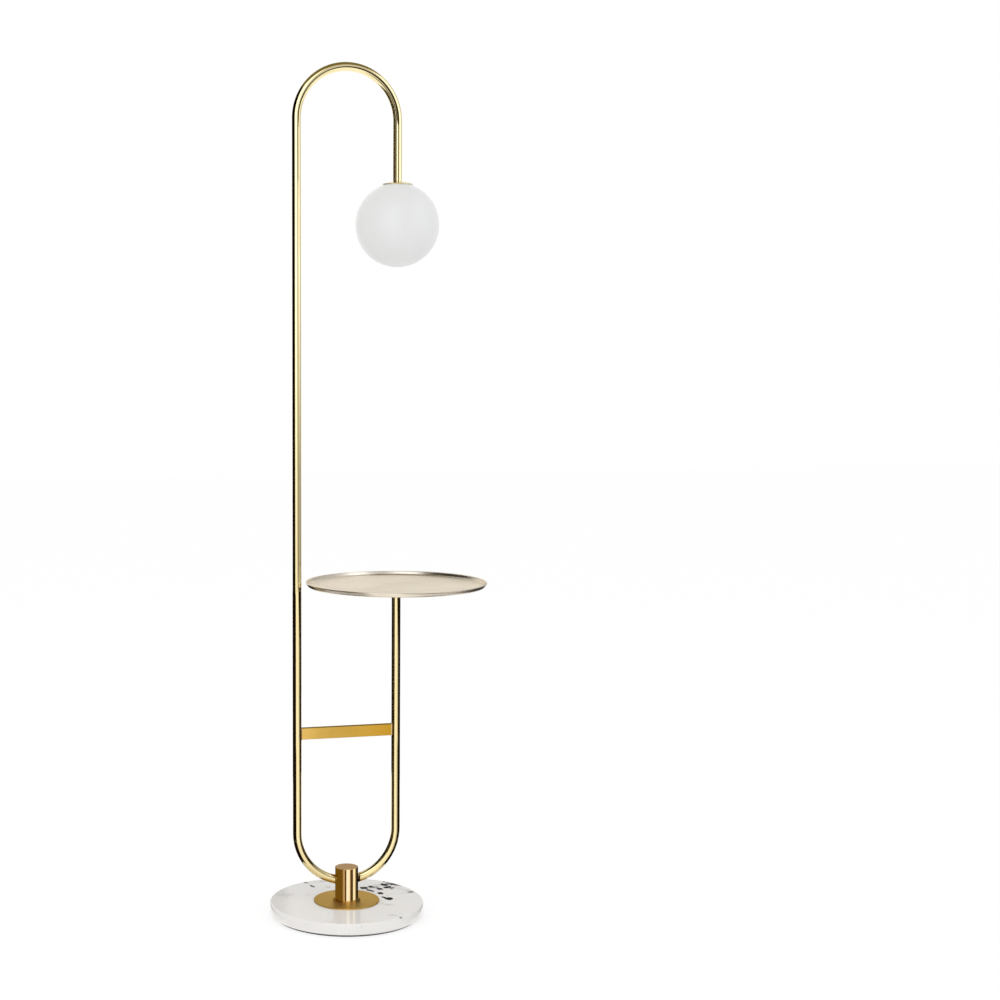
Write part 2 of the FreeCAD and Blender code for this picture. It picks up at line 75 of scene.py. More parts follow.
camera_data = bpy.data.cameras.new("camera")
camera_data.sensor_width = 36
camera_data.lens = 64.15
camera_data.shift_x = 0.173
camera = put("camera", camera_data)
camera.location = camera_side(-0.036, -3.2, 1.019)
camera.rotation_euler = (CAMERA_TILT, 0, -CAMERA_TURN)
scene.camera = camera
print("camera at", [round(x, 3) for x in camera.location])

# %% [markdown]
# A node tree is quicker to read when each line adds one node and says what feeds it. These small
# helpers do that: `add` makes a node, and a value in `feeds` is either a plain number or the
# socket of another node.

# %% Helpers for node trees


def feed(tree, node, feeds):
    """Join each named input to a socket, or set it to a plain value."""
    for name, value in feeds.items():
        if isinstance(value, bpy.types.NodeSocket):
            tree.links.new(value, node.inputs[name])
        else:
            node.inputs[name].default_value = value


def add(tree, kind, feeds=None, **settings):
    node = tree.nodes.new(kind)
    for name, value in settings.items():
        setattr(node, name, value)
    feed(tree, node, feeds or {})
    return node


def calc(tree, operation, first, second=0.0, third=0.0):
    node = add(tree, "ShaderNodeMath", {0: first, 1: second, 2: third}, operation=operation)
    return node.outputs[0]


def vector(tree, operation, first, second=(0.0, 0.0, 0.0)):
    """One step of vector maths. A length, a distance or a dot product comes out as one number."""
    node = add(tree, "ShaderNodeVectorMath", {0: first, 1: second}, operation=operation)
    one_number = operation in ("LENGTH", "DISTANCE", "DOT_PRODUCT")
    return node.outputs["Value" if one_number else "Vector"]


def noise(tree, place, scale, detail=2.0, output=0, **more):
    return add(tree, "ShaderNodeTexNoise",
               {"Vector": place, "Scale": scale, "Detail": detail, **more}).outputs[output]


def ramp(tree, value, low, high, to_low=0.0, to_high=1.0, smooth=True):
    """Change from one value to another as the input passes from low to high."""
    node = add(tree, "ShaderNodeMapRange", {0: value, 1: low, 2: high, 3: to_low, 4: to_high},
               interpolation_type="SMOOTHSTEP" if smooth else "LINEAR")
    return node.outputs[0]


def blend_colour(tree, share, first, second, how="MIX"):
    node = add(tree, "ShaderNodeMix", data_type="RGBA", blend_type=how)
    feed(tree, node, {0: share, 6: first, 7: second})
    return node.outputs[2]


def coordinates(tree, place=None):
    """The three coordinates of a place, or of the point that is being shaded."""
    place = place or tree.nodes.new("ShaderNodeTexCoord").outputs["Object"]
    return add(tree, "ShaderNodeSeparateXYZ", {0: place}).outputs


# %% [markdown]
# ## The room
# Polished brass has hardly any look of its own: it shows the room. The photograph was taken in a
# white room with dark boards beside the lamp, which draw the black line down the left of every
# tube. So the room is built the same way. The floor and the sky are white where the camera or
# the metal sees them, and plain, even light falls on everything else. The boards are curved
# cards that only reflections can see.

# %% White room
SKY_LIGHT, SKY_SEEN = 0.87, 1.0  # the sky's strength as plain light, and where it is seen
FLOOR_HALF = 12  # metres
FLOOR_SEEN = 0.72  # how much of the floor is plain white to the camera; the rest takes shadows
LAMP_MIDDLE = Vector((0, 0, 0.7))


def blank_material(name):
    """A material with an empty tree."""
    material = bpy.data.materials.new(name)
    material.use_nodes = True
    material.node_tree.nodes.clear()
    return material, material.node_tree


def surface(tree, shade):
    tree.links.new(shade.outputs[0], add(tree, "ShaderNodeOutputMaterial").inputs[0])


def build_world():
    """A sky that is brighter to the camera, in a mirror and through glass than as plain light."""
    world = bpy.data.worlds.new("white room")
    world.use_nodes = True
    tree = world.node_tree
    path = add(tree, "ShaderNodeLightPath").outputs
    seen = calc(tree, "MAXIMUM", path["Is Camera Ray"], path["Is Glossy Ray"])
    seen = calc(tree, "MAXIMUM", seen, path["Is Transmission Ray"])
    strength = calc(tree, "MULTIPLY_ADD", seen, SKY_SEEN - SKY_LIGHT, SKY_LIGHT)
    feed(tree, tree.nodes["Background"], {"Color": (1, 1, 1, 1), "Strength": strength})
    scene.world = world


def build_floor():
    """A wide white floor that stays white to the camera but keeps a faint shadow of the lamp."""
    mesh = bpy.data.meshes.new("floor")
    mesh.from_pydata([(x * FLOOR_HALF, y * FLOOR_HALF, 0)
                      for x, y in ((-1, -1), (1, -1), (1, 1), (-1, 1))], [], [(0, 1, 2, 3)])
    material, tree = blank_material("floor_white")
    path = add(tree, "ShaderNodeLightPath").outputs
    mirror = calc(tree, "MAXIMUM", path["Is Glossy Ray"], path["Is Transmission Ray"])
    share = calc(tree, "MULTIPLY_ADD", path["Is Camera Ray"], FLOOR_SEEN, mirror)
    plain = add(tree, "ShaderNodeBsdfDiffuse", {"Color": (0.94, 0.94, 0.935, 1)})
    white = add(tree, "ShaderNodeEmission", {"Color": (1, 1, 1, 1), "Strength": 1.06})
    surface(tree, add(tree, "ShaderNodeMixShader",
                      {0: share, 1: plain.outputs[0], 2: white.outputs[0]}))
    mesh.materials.append(material)
    put("floor", mesh)


def soft_light(name, place, size, power):
    data = bpy.data.lights.new(name, "AREA")
    data.size = size
    data.energy = power
    light = put(name, data)
    light.location = place
    light.rotation_euler = (LAMP_MIDDLE - place).to_track_quat("-Z", "Y").to_euler()
    light.visible_glossy = False
    light.visible_camera = False


build_world()
build_floor()
soft_light("key", camera_side(-1.9, -2.2, 2.5), 1.6, 16)
soft_light("fill", camera_side(2.3, -1.6, 1.6), 1.6, 7)
print("room: floor, sky and two soft lights")

# %% [markdown]
# The boards stand on a circle around the lamp. An angle of 0 is straight towards the camera and
# 90 is to its right. On an upright tube the middle reflects what is near 0 and the edges reflect
# what is far round, so a board from -43 to -140 degrees turns the left quarter of the tube black.
# A mirror also looks up or down by as much as the camera does, so a board that ends 0.48 m up
# shows on the tube only below the tray. Each board fades from one shade at its foot to another.

# %% Helpers for reflecting cards
FOOT = 0.03
SPLIT = 0.478  # where a board ends so that its edge shows on the tubes at the tray's level
TOP = 2.4
BLACK = (0.004, 0.002, 0.001)
BROWN = (0.012, 0.006, 0.002)


def grey(value, warmth=0.0):
    """A grey, a little warm above 0 and a little cool below."""
    return (value, value * (1 - warmth), value * (1 - 3 * warmth))


def on_circle(angle, radius, level):
    """A point round the lamp, with its angle in degrees."""
    turn = math.radians(angle)
    place = radius * (math.sin(turn) * RIGHT - math.cos(turn) * AWAY)
    return (place.x, place.y, level)


def strip_faces(points):
    """Faces between each pair of points and the next pair."""
    return [(k, k + 2, k + 3, k + 1) for k in range(0, len(points) - 2, 2)]


def card_material(name, low, high, foot, head, inside_only):
    """Light that fades evenly from one colour to another as the card rises."""
    material, tree = blank_material(name)
    share = ramp(tree, coordinates(tree)[2], low, high, smooth=False)
    colour = blend_colour(tree, share, (*foot, 1), (*head, 1))
    shade = add(tree, "ShaderNodeEmission", {"Color": colour})
    if inside_only:
        outside = add(tree, "ShaderNodeNewGeometry").outputs["Backfacing"]
        clear = add(tree, "ShaderNodeBsdfTransparent")
        shade = add(tree, "ShaderNodeMixShader",
                    {0: outside, 1: shade.outputs[0], 2: clear.outputs[0]})
    surface(tree, shade)
    return material


def make_card(name, points, faces, foot, head=None, fade=(0.0, 1.0), inside_only=False):
    """A glowing card that only reflections see."""
    mesh = bpy.data.meshes.new(name)
    mesh.from_pydata(points, [], faces)
    mesh.materials.append(card_material(name, *fade, foot, head or foot, inside_only))
    card = put(name, mesh)
    for ray in ("camera", "diffuse", "transmission", "volume_scatter", "shadow"):
        setattr(card, "visible_" + ray, False)


def board(name, start, end, low, high, foot, head=None, radius=0.95, fade=None, inside_only=False):
    """Upright curved card. Built this way round, it faces inwards."""
    steps = max(2, round(abs(end - start) / 3))
    points = []
    for index in range(steps + 1):
        angle = max(start, end) - abs(end - start) * index / steps
        points += [on_circle(angle, radius, level) for level in (low, high)]
    make_card(name, points, strip_faces(points), foot, head, fade or (low, high), inside_only)


# %% Boards for the reflections
board("board_left_high", -43, -140, SPLIT, TOP, BLACK)
board("board_left_low", -32, -172, FOOT, SPLIT, BROWN)
board("board_right_low", 56, 150, FOOT, SPLIT, BROWN)
board("softbox_front", -40, 9, SPLIT, TOP, grey(1.2), grey(1.75, -0.07), fade=(0.6, 1.2))
board("softbox_low", -30, 31, FOOT, SPLIT, grey(1.25))
board("softbox_low_edge", 31, 54, FOOT, SPLIT, grey(0.80))
for step in range(5):  # the right-hand board reaches further round just under the tray's level
    board(f"board_under_tray_{step}", 33 + 5 * step, 38 + 5 * step, SPLIT - 0.026 * (step + 1),
          SPLIT, BROWN, radius=0.94)
board("gap_right", 12, 50, SPLIT, TOP, grey(0.34), grey(0.72, -0.04), fade=(0.6, 1.3))
board("softbox_right", 52, 86, SPLIT, TOP, grey(0.50), grey(1.8, -0.07), fade=(0.75, 1.25))
board("wall_right", 88, 152, SPLIT, TOP, grey(0.38), grey(0.80, -0.04), fade=(0.6, 1.35))
board("board_behind", 150, 210, 0.12, 1.1, grey(0.62), (0.93, 0.89, 0.80), radius=1.5,
      fade=(0.52, 0.74))
print("boards stand 0.95 m from the lamp, and one 1.5 m behind it")

# %% [markdown]
# Near the floor the tubes look down so steeply that they see the floor before they see a board
# 0.95 m away. So a low ring of the same shades stands nearer, and it is clear from outside. Two
# dark mats on the floor inside it carry the dark edges on round the bend. The turned post has
# narrower stripes of its own, as a close row of cards round it.

# %% Low ring, mats and stripes for the post
RING_RADIUS = 0.40
MAT_LEVEL, MAT_INNER, MAT_STEPS = 0.001, 0.16, 18
POST_RING = {"radius": 0.025, "inside_only": True}
POST_STRIPES = [  # from and to in degrees, and the shade
    (-123, -23, (0.20, 0.12, 0.02)), (-23, -10, (0.60, 0.47, 0.34)), (-10, -2, (0.05, 0.02, 0.0)),
    (-2, 18, (1.35, 1.45, 2.0)), (18, 24, (0.42, 0.38, 0.32)), (24, 39, (0.10, 0.05, 0.01)),
    (39, 58, (1.25, 1.35, 1.6)), (58, 71, (0.18, 0.14, 0.10)), (71, 123, (0.010, 0.005, 0.002))]


def dark_mat(name, start, end):
    """Part of a flat ring on the floor. The underside of the loop's bend mirrors it."""
    points = [on_circle(start + (end - start) * step / MAT_STEPS, reach, MAT_LEVEL)
              for step in range(MAT_STEPS + 1) for reach in (RING_RADIUS, MAT_INNER)]
    make_card(name, points, strip_faces(points), BROWN)


for part, start, end, shade in (("dark_left", -132, -32, BROWN), ("light", -30, 31, grey(1.25)),
                                ("edge", 31, 54, grey(0.80)), ("dark_right", 56, 132, BROWN)):
    board("low_ring_" + part, start, end, 0.002, 0.235, shade, radius=RING_RADIUS,
          inside_only=True)
dark_mat("mat_left", -140, -34)
dark_mat("mat_right", 56, 140)
for number, (start, end, shade) in enumerate(POST_STRIPES):
    board(f"post_ring_{number}", start, end, 0.028, 0.094, shade, **POST_RING)
board("post_ring_back", 122, 238, 0.089, 0.112, (0.46, 0.38, 0.33), **POST_RING)
print("low ring, two mats and", len(POST_STRIPES) + 1, "cards for the post")

# %% [markdown]
# Three things are left. A dark ceiling shades the top of the arch, and a bright sheet at the
# height of the globe's top lights the underside of the arch. A narrow strip in front of the arch
# draws the thin dark line that runs along it and down the drop. The sheet is clear from below.

# %% Ceiling, arch strip and arch sheet
MM = 0.001
STRIP_AHEAD = 120  # mm from the arch towards the camera
STRIP = (  # mm to the camera's right and above the floor, and half the strip's width there
    (4, 1340, 32.4), (3, 1432, 32.4), (18, 1466, 32.4), (48, 1486, 32.4), (85, 1494, 45.9),
    (124, 1492, 45.9), (160, 1478, 39.15), (180, 1450, 39.15), (182, 1322, 39.15))


def arch_strip():
    """A narrow bent strip, a hand's width in front of the arch and widest at its right shoulder."""
    points = []
    for index, (x, z, half_width) in enumerate(STRIP):
        before, after = STRIP[max(0, index - 1)], STRIP[min(len(STRIP) - 1, index + 1)]
        run = Vector((after[0] - before[0], after[1] - before[1])).normalized()
        for side in (half_width, -half_width):
            place = camera_side(x - side * run.y, -STRIP_AHEAD, z + side * run.x)
            points.append(tuple(place * MM))
    make_card("arch_strip", points, strip_faces(points), (0.045, 0.035, 0.012))


def level_card(name, level, left, right, near, far, shade, inside_only=False):
    """A flat level card, with its sides in metres as the camera sees them. Its lit side is up."""
    corners = ((left, near), (right, near), (right, far), (left, far))
    points = [tuple(camera_side(across, away, level)) for across, away in corners]
    make_card(name, points, [(0, 1, 2, 3)], shade, inside_only=inside_only)


level_card("ceiling", TOP, -1.0, 1.0, -0.82, 1.2, (0.21, 0.185, 0.08))
level_card("arch_sheet", 1.34, -0.09, 0.9, -0.9, 0.9, grey(1.2, -0.05), inside_only=True)
arch_strip()
print("ceiling, arch sheet and arch strip")

# %% [markdown]
# ## Finishes
# Real metal is never one flat colour. Every metal here mixes the same few effects: faint marks
# from handling, a grain left by the machine that made it, a little brightness where an edge has
# been rubbed, and dust that settles on level faces. Each effect is one node group, built once
# and placed in each material with its own numbers.

# %% Shared effect: marks from handling
FLOAT, VECTOR = "NodeSocketFloat", "NodeSocketVector"
SOCKET_FOR = {float: FLOAT, int: "NodeSocketInt", tuple: VECTOR}


def new_group(name, inputs, outputs, kind="ShaderNodeTree"):
    """An empty node group. An input is given by its default, or by its type where it has none."""
    tree = bpy.data.node_groups.new(name, kind)
    for label, value in inputs.items():
        bare = isinstance(value, str)
        socket = tree.interface.new_socket(label, in_out="INPUT",
                                           socket_type=value if bare else SOCKET_FOR[type(value)])
        if not bare:
            socket.default_value = value
    for label, socket_type in outputs.items():
        tree.interface.new_socket(label, in_out="OUTPUT", socket_type=socket_type)
    return tree, tree.nodes.new("NodeGroupInput").outputs, tree.nodes.new("NodeGroupOutput")


def build_handling():
    """Soft smudges and hairline marks. Feeds roughness and a very shallow bump."""
    tree, given, result = new_group(
        "handling marks", {"Vector": VECTOR, "Roughness": 0.15, "Spread": 0.05,
                           "Smudge Scale": 14.0, "Hairline Scale": 900.0},
        {"Roughness": FLOAT, "Height": FLOAT, "Smudge": FLOAT})
    smudge = noise(tree, given["Vector"], given["Smudge Scale"], 3.0, Roughness=0.6)
    cloud = ramp(tree, smudge, 0.35, 0.72)
    stretched = add(tree, "ShaderNodeMapping", {
        "Vector": given["Vector"], "Scale": (1.0, 1.0, 0.05), "Rotation": (0.1, 0.2, 0.0)})
    line = ramp(tree, noise(tree, stretched.outputs[0], given["Hairline Scale"]), 0.60, 0.74)
    both = calc(tree, "MULTIPLY_ADD", line, 0.6, cloud)
    rough = calc(tree, "MULTIPLY_ADD", both, given["Spread"], given["Roughness"])
    feed(tree, result, {"Roughness": rough, "Height": line, "Smudge": cloud})
    return tree


HANDLING = build_handling()
print("shared effect:", HANDLING.name)

# %% [markdown]
# A brushed face is covered in short scratches that all run one way. Noise that is stretched along
# that way gives them. On a turned face the scratches are rings, so there the noise reads the
# distance from the middle instead.

# %% Shared effects: machine grain


def from_axis(tree, place):
    """How far a place is from the upright axis, and its three coordinates."""
    parts = coordinates(tree, place)
    flat = add(tree, "ShaderNodeCombineXYZ", {0: parts[0], 1: parts[1]})
    return vector(tree, "LENGTH", flat.outputs[0]), parts


def scratches(tree, place, broad_scale, result):
    """Fine and broad noise make the tone, half of each. Only the fine one is felt as height."""
    fine = noise(tree, place, 1.0, 4.0, Roughness=0.7)
    broad = noise(tree, place, broad_scale)
    shade = calc(tree, "MULTIPLY_ADD", broad, 0.5, calc(tree, "MULTIPLY", fine, 0.5))
    feed(tree, result, {"Shade": shade, "Height": fine})
    return tree


def build_straight_grain():
    """Scratches along one axis: a large number in Scale is across the grain, a small one along."""
    tree, given, result = new_group(
        "straight grain", {"Vector": VECTOR, "Scale": (8.0, 900.0, 900.0)},
        {"Shade": FLOAT, "Height": FLOAT})
    place = vector(tree, "MULTIPLY", given["Vector"], given["Scale"])
    return scratches(tree, place, 0.12, result)


def build_turned_grain():
    """Fine rings about the upright axis, broken a little around each ring."""
    tree, given, result = new_group("turned grain", {"Vector": VECTOR, "Rings": 1400.0},
                                    {"Shade": FLOAT, "Height": FLOAT})
    away, parts = from_axis(tree, given["Vector"])
    turn = calc(tree, "ARCTAN2", parts[1], parts[0])
    ring = add(tree, "ShaderNodeCombineXYZ", {
        0: calc(tree, "MULTIPLY", away, given["Rings"]),
        1: calc(tree, "MULTIPLY", calc(tree, "SINE", turn), 0.9),
        2: calc(tree, "MULTIPLY", parts[2], given["Rings"])})
    return scratches(tree, ring.outputs[0], 0.10, result)


STRAIGHT_GRAIN = build_straight_grain()
TURNED_GRAIN = build_turned_grain()
print("shared effects:", STRAIGHT_GRAIN.name, "and", TURNED_GRAIN.name)

# %% [markdown]
# Edges are touched most, so the polish is brighter there. A turned piece makes this easy: its rim
# is at a known distance from its axis and at a known level, and the mask fades over a fraction of
# a millimetre. Dust is the other way round: it lies only where a face looks up.

# %% Shared effects: rubbed rims, settled dust and a thread


def build_rim_rub():
    tree, given, result = new_group(
        "rim rub", {"Vector": VECTOR, "Radius": 0.06, "Level": 0.027, "Width": 0.0012},
        {"Mask": FLOAT})
    away, parts = from_axis(tree, given["Vector"])
    across = calc(tree, "SUBTRACT", away, given["Radius"])
    height = calc(tree, "SUBTRACT", parts[2], given["Level"])
    gap = calc(tree, "SQRT", calc(tree, "ADD", calc(tree, "MULTIPLY", across, across),
                                  calc(tree, "MULTIPLY", height, height)))
    near = ramp(tree, calc(tree, "DIVIDE", gap, given["Width"]), 0.2, 1.0, 1.0, 0.0)
    patchy = noise(tree, given["Vector"], 220.0, 3.0)
    feed(tree, result, {"Mask": calc(tree, "MULTIPLY", near, patchy)})
    return tree


def build_dust():
    tree, given, result = new_group(
        "settled dust", {"Vector": VECTOR, "Amount": 0.1, "Scale": 1500.0}, {"Mask": FLOAT})
    facing = coordinates(tree, add(tree, "ShaderNodeNewGeometry").outputs["Normal"])
    level = ramp(tree, facing[2], 0.75, 0.98)
    grains = ramp(tree, noise(tree, given["Vector"], given["Scale"]), 0.56, 0.70)
    specks = calc(tree, "MULTIPLY", grains, noise(tree, given["Vector"], 18.0))
    lying = calc(tree, "MULTIPLY", specks, level)
    feed(tree, result, {"Mask": calc(tree, "MULTIPLY", lying, given["Amount"])})
    return tree


def thread_wave(tree, parts, pitch):
    """Runs from 0 to 1 and back in each pitch, and climbs one pitch in a turn about the axis."""
    turn = calc(tree, "DIVIDE", calc(tree, "ARCTAN2", parts[1], parts[0]), 2 * math.pi)
    climbs = calc(tree, "SUBTRACT", calc(tree, "DIVIDE", parts[2], pitch), turn)
    wave = calc(tree, "ABSOLUTE", calc(tree, "SUBTRACT", calc(tree, "FRACT", climbs), 0.5))
    return calc(tree, "MULTIPLY", wave, 2.0)


def build_screw_thread():
    tree, given, result = new_group("screw thread", {"Vector": VECTOR, "Pitch": 0.003},
                                    {"Height": FLOAT})
    wave = thread_wave(tree, coordinates(tree, given["Vector"]), given["Pitch"])
    feed(tree, result, {"Height": wave})
    return tree


RIM_RUB = build_rim_rub()
DUST = build_dust()
SCREW_THREAD = build_screw_thread()
print("shared effects in all:", [group.name for group in bpy.data.node_groups])

# %% [markdown]
# Every finish below starts from the same helper, which gives a material, the shader inside it and
# the place on the piece. The place is Object coordinates in metres, moved so that the piece's own
# axis is at zero, because the rings and rims are measured from that axis.

# %% Helpers for finishes
LEG_X = 92.5 * MM  # from the lamp's middle to either upright, and the radius of both bends


def use_group(tree, group, feeds):
    return add(tree, "ShaderNodeGroup", feeds, node_tree=group).outputs


def start_material(name, axis_x=0.0):
    """A new material, its tree, its shader and a socket with the place from the axis."""
    material = bpy.data.materials.new(name)
    material.use_nodes = True
    tree = material.node_tree
    place = tree.nodes.new("ShaderNodeTexCoord").outputs["Object"]
    if axis_x:
        moved = add(tree, "ShaderNodeMapping", {"Vector": place, "Location": (-axis_x, 0, 0)})
        place = moved.outputs[0]
    return material, tree, tree.nodes["Principled BSDF"], place


def handled(tree, place, rough, spread, smudges=14.0):
    """The roughness of a handled surface, the height of its marks and its smudges."""
    return use_group(tree, HANDLING, {"Vector": place, "Roughness": rough, "Spread": spread,
                                      "Smudge Scale": smudges})


def bump(tree, height, depth):
    return add(tree, "ShaderNodeBump",
               {"Height": height, "Strength": 1.0, "Distance": depth}).outputs[0]


def times(colour, share):
    """A darker or lighter version of a colour, for a socket."""
    return (*[min(1, c * share) for c in colour], 1)


def metal(name, colour, rough, spread=0.05, grain=None, grain_feeds=None, grain_depth=2e-6,
          warm=None, rim=None, dust=0.0, anisotropy=0.0, axis_x=0.0, thread=None, edge_tint=None):
    """A metal with handling marks, and a grain, rubbed rims and dust where they are asked for."""
    material, tree, shader, place = start_material(name, axis_x)
    marks = handled(tree, place, rough, spread)
    rough, height = marks["Roughness"], marks["Height"]
    tone = blend_colour(tree, calc(tree, "MULTIPLY", marks["Smudge"], 0.5), (*colour, 1),
                        (*warm, 1) if warm else times(colour, 0.9))
    if grain:
        lines = use_group(tree, grain, {"Vector": place, **(grain_feeds or {})})
        dark = calc(tree, "MULTIPLY_ADD", lines["Shade"], 0.36, -0.04)
        tone = blend_colour(tree, dark, tone, times(colour, 0.62))
        height = lines["Height"]
    if rim:
        radius, level, width = rim
        mask = use_group(tree, RIM_RUB, {"Vector": place, "Radius": radius, "Level": level,
                                         "Width": width})["Mask"]
        tone = blend_colour(tree, mask, tone, times(colour, 1.15))
    if dust:
        lying = use_group(tree, DUST, {"Vector": place, "Amount": dust})["Mask"]
        tone = blend_colour(tree, lying, tone, (0.55, 0.54, 0.52, 1))
        rough = calc(tree, "MULTIPLY_ADD", lying, 0.5, rough)
    if thread:
        pitch, grain_depth = thread
        height = use_group(tree, SCREW_THREAD, {"Vector": place, "Pitch": pitch})["Height"]
        # Painted shade: the grooves of the thread are darker.
        tone = blend_colour(tree, height, times(colour, 0.45), tone)
    if anisotropy:
        around = add(tree, "ShaderNodeTangent", direction_type="RADIAL", axis="Z")
        feed(tree, shader, {"Anisotropic": anisotropy, "Anisotropic Rotation": 0.25,
                            "Tangent": around.outputs[0]})
    if edge_tint:
        feed(tree, shader, {"Specular Tint": (*edge_tint, 1)})
    feed(tree, shader, {"Metallic": 1.0, "Base Color": tone, "Roughness": rough,
                        "Normal": bump(tree, height, grain_depth)})
    return material


# %% Painted reflections on the flat bar
BAR_REFLECTION_TINTS = ((0.0, (1.12, 1.07, 1.0)), (0.15, (0.94, 0.92, 0.70)), (0.42, (0.88, 0.81, 0.53)),
             (0.65, (0.94, 0.85, 0.46)), (1.0, (0.97, 0.80, 0.24)))  # place on the bar, and tint
BAR_HALF = (1.5, 11.25)  # half the bar's thickness and height, in mm
BAR_MIDDLE = 339.0
BAR_TOP = BAR_MIDDLE + BAR_HALF[1]
# The colour of a dark line along the top edge of the bar.
TOP_EDGE_DARK = (0.14, 0.09, 0.02, 1)


def paint_bar_reflections(material):
    """The flat bar is painted paler at one end and redder at the other, as painted reflection of
    the room along it, with a dark line along its top edge."""
    tree = material.node_tree
    shader = tree.nodes["Principled BSDF"]
    plain = shader.inputs["Base Color"].links[0].from_socket
    parts = coordinates(tree)
    cloud = add(tree, "ShaderNodeTexNoise", {"Scale": 60.0, "Detail": 2.0}).outputs[0]
    along = calc(tree, "MULTIPLY_ADD", calc(tree, "SUBTRACT", cloud, 0.5), 0.02, parts[0])
    # Painted reflection: a colour ramp along the bar, paler at one end and redder at the other.
    tints = add(tree, "ShaderNodeValToRGB",
                {0: ramp(tree, along, -85 * MM, 85 * MM, smooth=False)})
    stops = tints.color_ramp.elements
    for place, colour in BAR_REFLECTION_TINTS:
        stop = stops[0] if place == 0 else stops[-1] if place == 1 else stops.new(place)
        stop.color = (*colour, 1)
    tinted = blend_colour(tree, 1.0, plain, tints.outputs[0], how="MULTIPLY")
    edge = ramp(tree, parts[2], (BAR_TOP - 2.35) * MM, (BAR_TOP - 1.75) * MM)
    tinted = blend_colour(tree, calc(tree, "MULTIPLY", edge, 0.85), tinted, TOP_EDGE_DARK)
    feed(tree, shader, {"Base Color": tinted})


# %% Metals
BRASS = (0.84, 0.70, 0.38)
MACHINED = (0.78, 0.60, 0.28)
brass_tube = metal("polished_brass_tube", BRASS, 0.06, 0.05, grain_depth=1e-6,
                   warm=(0.80, 0.64, 0.31))
brass_post = metal("turned_brass_post", (0.86, 0.62, 0.27), 0.14, 0.04, TURNED_GRAIN,
                   {"Rings": 2600.0}, 1e-6, rim=(21 * MM, 88 * MM, 1.6 * MM), dust=0.15,
                   anisotropy=0.85)
brass_disc = metal("spun_brass_disc", (0.72, 0.49, 0.165), 0.44, 0.06, TURNED_GRAIN,
                   {"Rings": 1500.0}, 3e-6, rim=(60 * MM, 27 * MM, 1.2 * MM), dust=0.25,
                   anisotropy=0.4, edge_tint=(0.73, 0.62, 0.45))
brass_bar = metal("brushed_brass_bar", (0.76, 0.50, 0.15), 0.36, 0.06, STRAIGHT_GRAIN,
                  {"Scale": (9.0, 900.0, 900.0)}, 6e-6)
# The bar's colour gets painted reflections along its length.
paint_bar_reflections(brass_bar)
brass_tray = metal("satin_brass_tray", (0.84, 0.745, 0.605), 0.30, 0.06, TURNED_GRAIN,
                   {"Rings": 1100.0}, 3e-6, rim=(163.7 * MM, 611 * MM, 2 * MM), dust=0.25,
                   anisotropy=0.5, axis_x=LEG_X)
brass_cap = metal("polished_brass_cap", BRASS, 0.12, 0.05, TURNED_GRAIN, {"Rings": 2400.0}, 2e-6,
                  dust=0.2, axis_x=LEG_X)
machined_brass = metal("machined_brass", MACHINED, 0.24, 0.08, TURNED_GRAIN, {"Rings": 3000.0},
                       5e-6, axis_x=LEG_X)
threaded_brass = metal("threaded_brass", MACHINED, 0.24, 0.08, axis_x=LEG_X,
                       thread=(3 * MM, 0.9 * MM))
braze = metal("silver_braze", (0.86, 0.77, 0.52), 0.30, 0.12, warm=(0.78, 0.62, 0.34),
              grain_depth=2e-5)
hidden_brass = metal("plain_machined_brass", (0.72, 0.55, 0.26), 0.30, 0.08)
spring_brass = metal("spring_brass", (0.80, 0.62, 0.30), 0.28, 0.06, STRAIGHT_GRAIN,
                     {"Scale": (900.0, 900.0, 30.0)}, 3e-6)
zinc_steel = metal("zinc_plated_steel", (0.60, 0.61, 0.63), 0.30, 0.12, warm=(0.62, 0.58, 0.47))
ballast_steel = metal("rolled_steel", (0.22, 0.22, 0.23), 0.48, 0.12, STRAIGHT_GRAIN,
                      {"Scale": (14.0, 500.0, 500.0)}, 8e-6)
pin_nickel = metal("nickel_pins", (0.66, 0.64, 0.59), 0.20, 0.06)
print("metals, from", brass_tube.name, "to", pin_nickel.name)

# %% [markdown]
# ## Marble
# The base is polished white marble: warm white clouds, hair-thin grey veins, and on the right
# towards the back a trail of near-black mineral flecks. The clouds and veins are noise. The
# trail has to lie in one place, so a node group measures how far a point is from a straight
# streak, and noise breaks the streak into flecks. A polished slab also has a clear, hard gloss,
# but the flecks are softer than the marble round them and stay matt.

# %% Streaks in the stone
SLAB_TOP = 25  # mm
MINERAL_FLECKS = [  # start, end and width in mm on the top of the slab, and how dark, as a share
    ((45, 66), (54, 64), 4.5, 0.95), ((63, 69), (67, 68), 4.5, 1.0),
    ((54, 50), (61, 42), 4.0, 0.9), ((74, 65), (76, 56), 5.5, 0.45),
    ((76, 53), (81, 52), 4.5, 0.8), ((69, 27), (74, 26), 5.0, 1.0), ((70, 1), (74, -8), 4.0, 1.0),
    ((74, -10), (81, -9), 5.5, 1.0), ((90, 77), (94, 76), 6.0, 1.0),
    ((98, 97), (102, 96), 4.0, 0.85), ((89, 58), (99, 62), 4.0, 0.75),
    ((98, 76), (104, 85), 5.0, 0.45), ((107, 76), (115, 79), 5.0, 0.65),
    ((98, 50), (104, 54), 4.0, 0.5), ((112, 70), (121, 68), 4.0, 0.5),
    ((126, 21), (131, 23), 4.0, 0.45), ((61, -42), (74, -49), 2.5, 0.22),
    ((52, -103), (65, -105), 3.0, 0.2), ((-50, 126), (-46, 122), 3.5, 0.55),
    ((-44, 102), (-40, 96), 4.0, 0.6), ((-20, 126), (-13, 124), 3.0, 0.25),
    ((-16, 87), (-11, 86), 3.0, 0.25), ((68, -121), (71, -121), 3.0, 0.45)]
